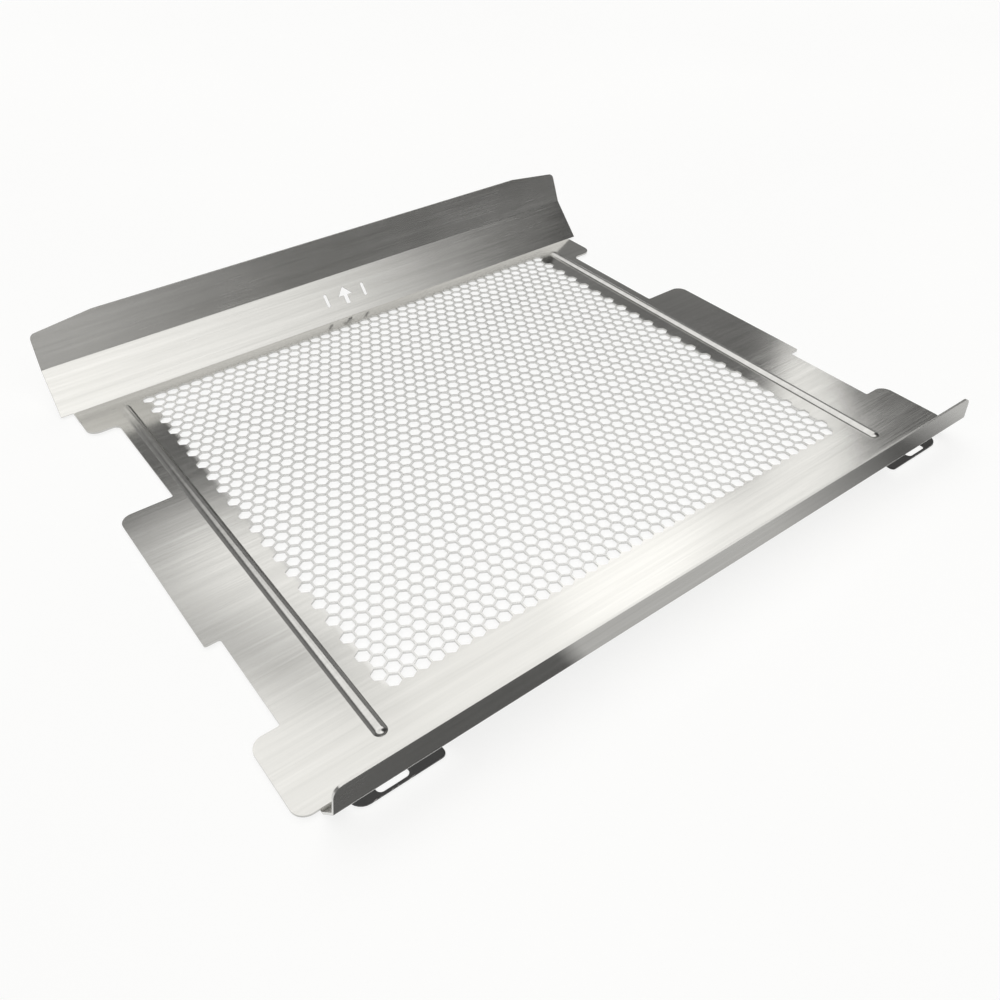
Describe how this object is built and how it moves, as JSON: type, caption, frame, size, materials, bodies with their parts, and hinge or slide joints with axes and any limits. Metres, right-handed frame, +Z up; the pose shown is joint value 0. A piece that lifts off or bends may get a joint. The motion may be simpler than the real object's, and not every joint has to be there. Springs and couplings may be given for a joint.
{
  "type": "queen excluder",
  "caption": "Stainless sheet queen excluder with a hexagonal perforated field, winged sides, a folded front lip with slotted ears and a folded rear flange.",
  "frame": {"origin": "middle of the overall box, on the plane the excluder rests on", "axes": "+Z up out of the panel, -Y towards the low front lip with the ears, +Y towards the tall rear flange, +X to the right seen from the front"},
  "size_m": [0.281, 0.2374, 0.0317],
  "materials": {
    "steel_sheet": "brushed",
    "steel_rib": "drawn",
    "ear_coat": "satin"
  },
  "bodies": {
    "root": {"mesh_panel": "steel_sheet", "front_flange": "steel_sheet", "rear_flange": "steel_sheet", "rib_left": "steel_rib", "rib_right": "steel_rib", "ear_left": "ear_coat", "ear_right": "ear_coat"}
  },
  "joints": []
}
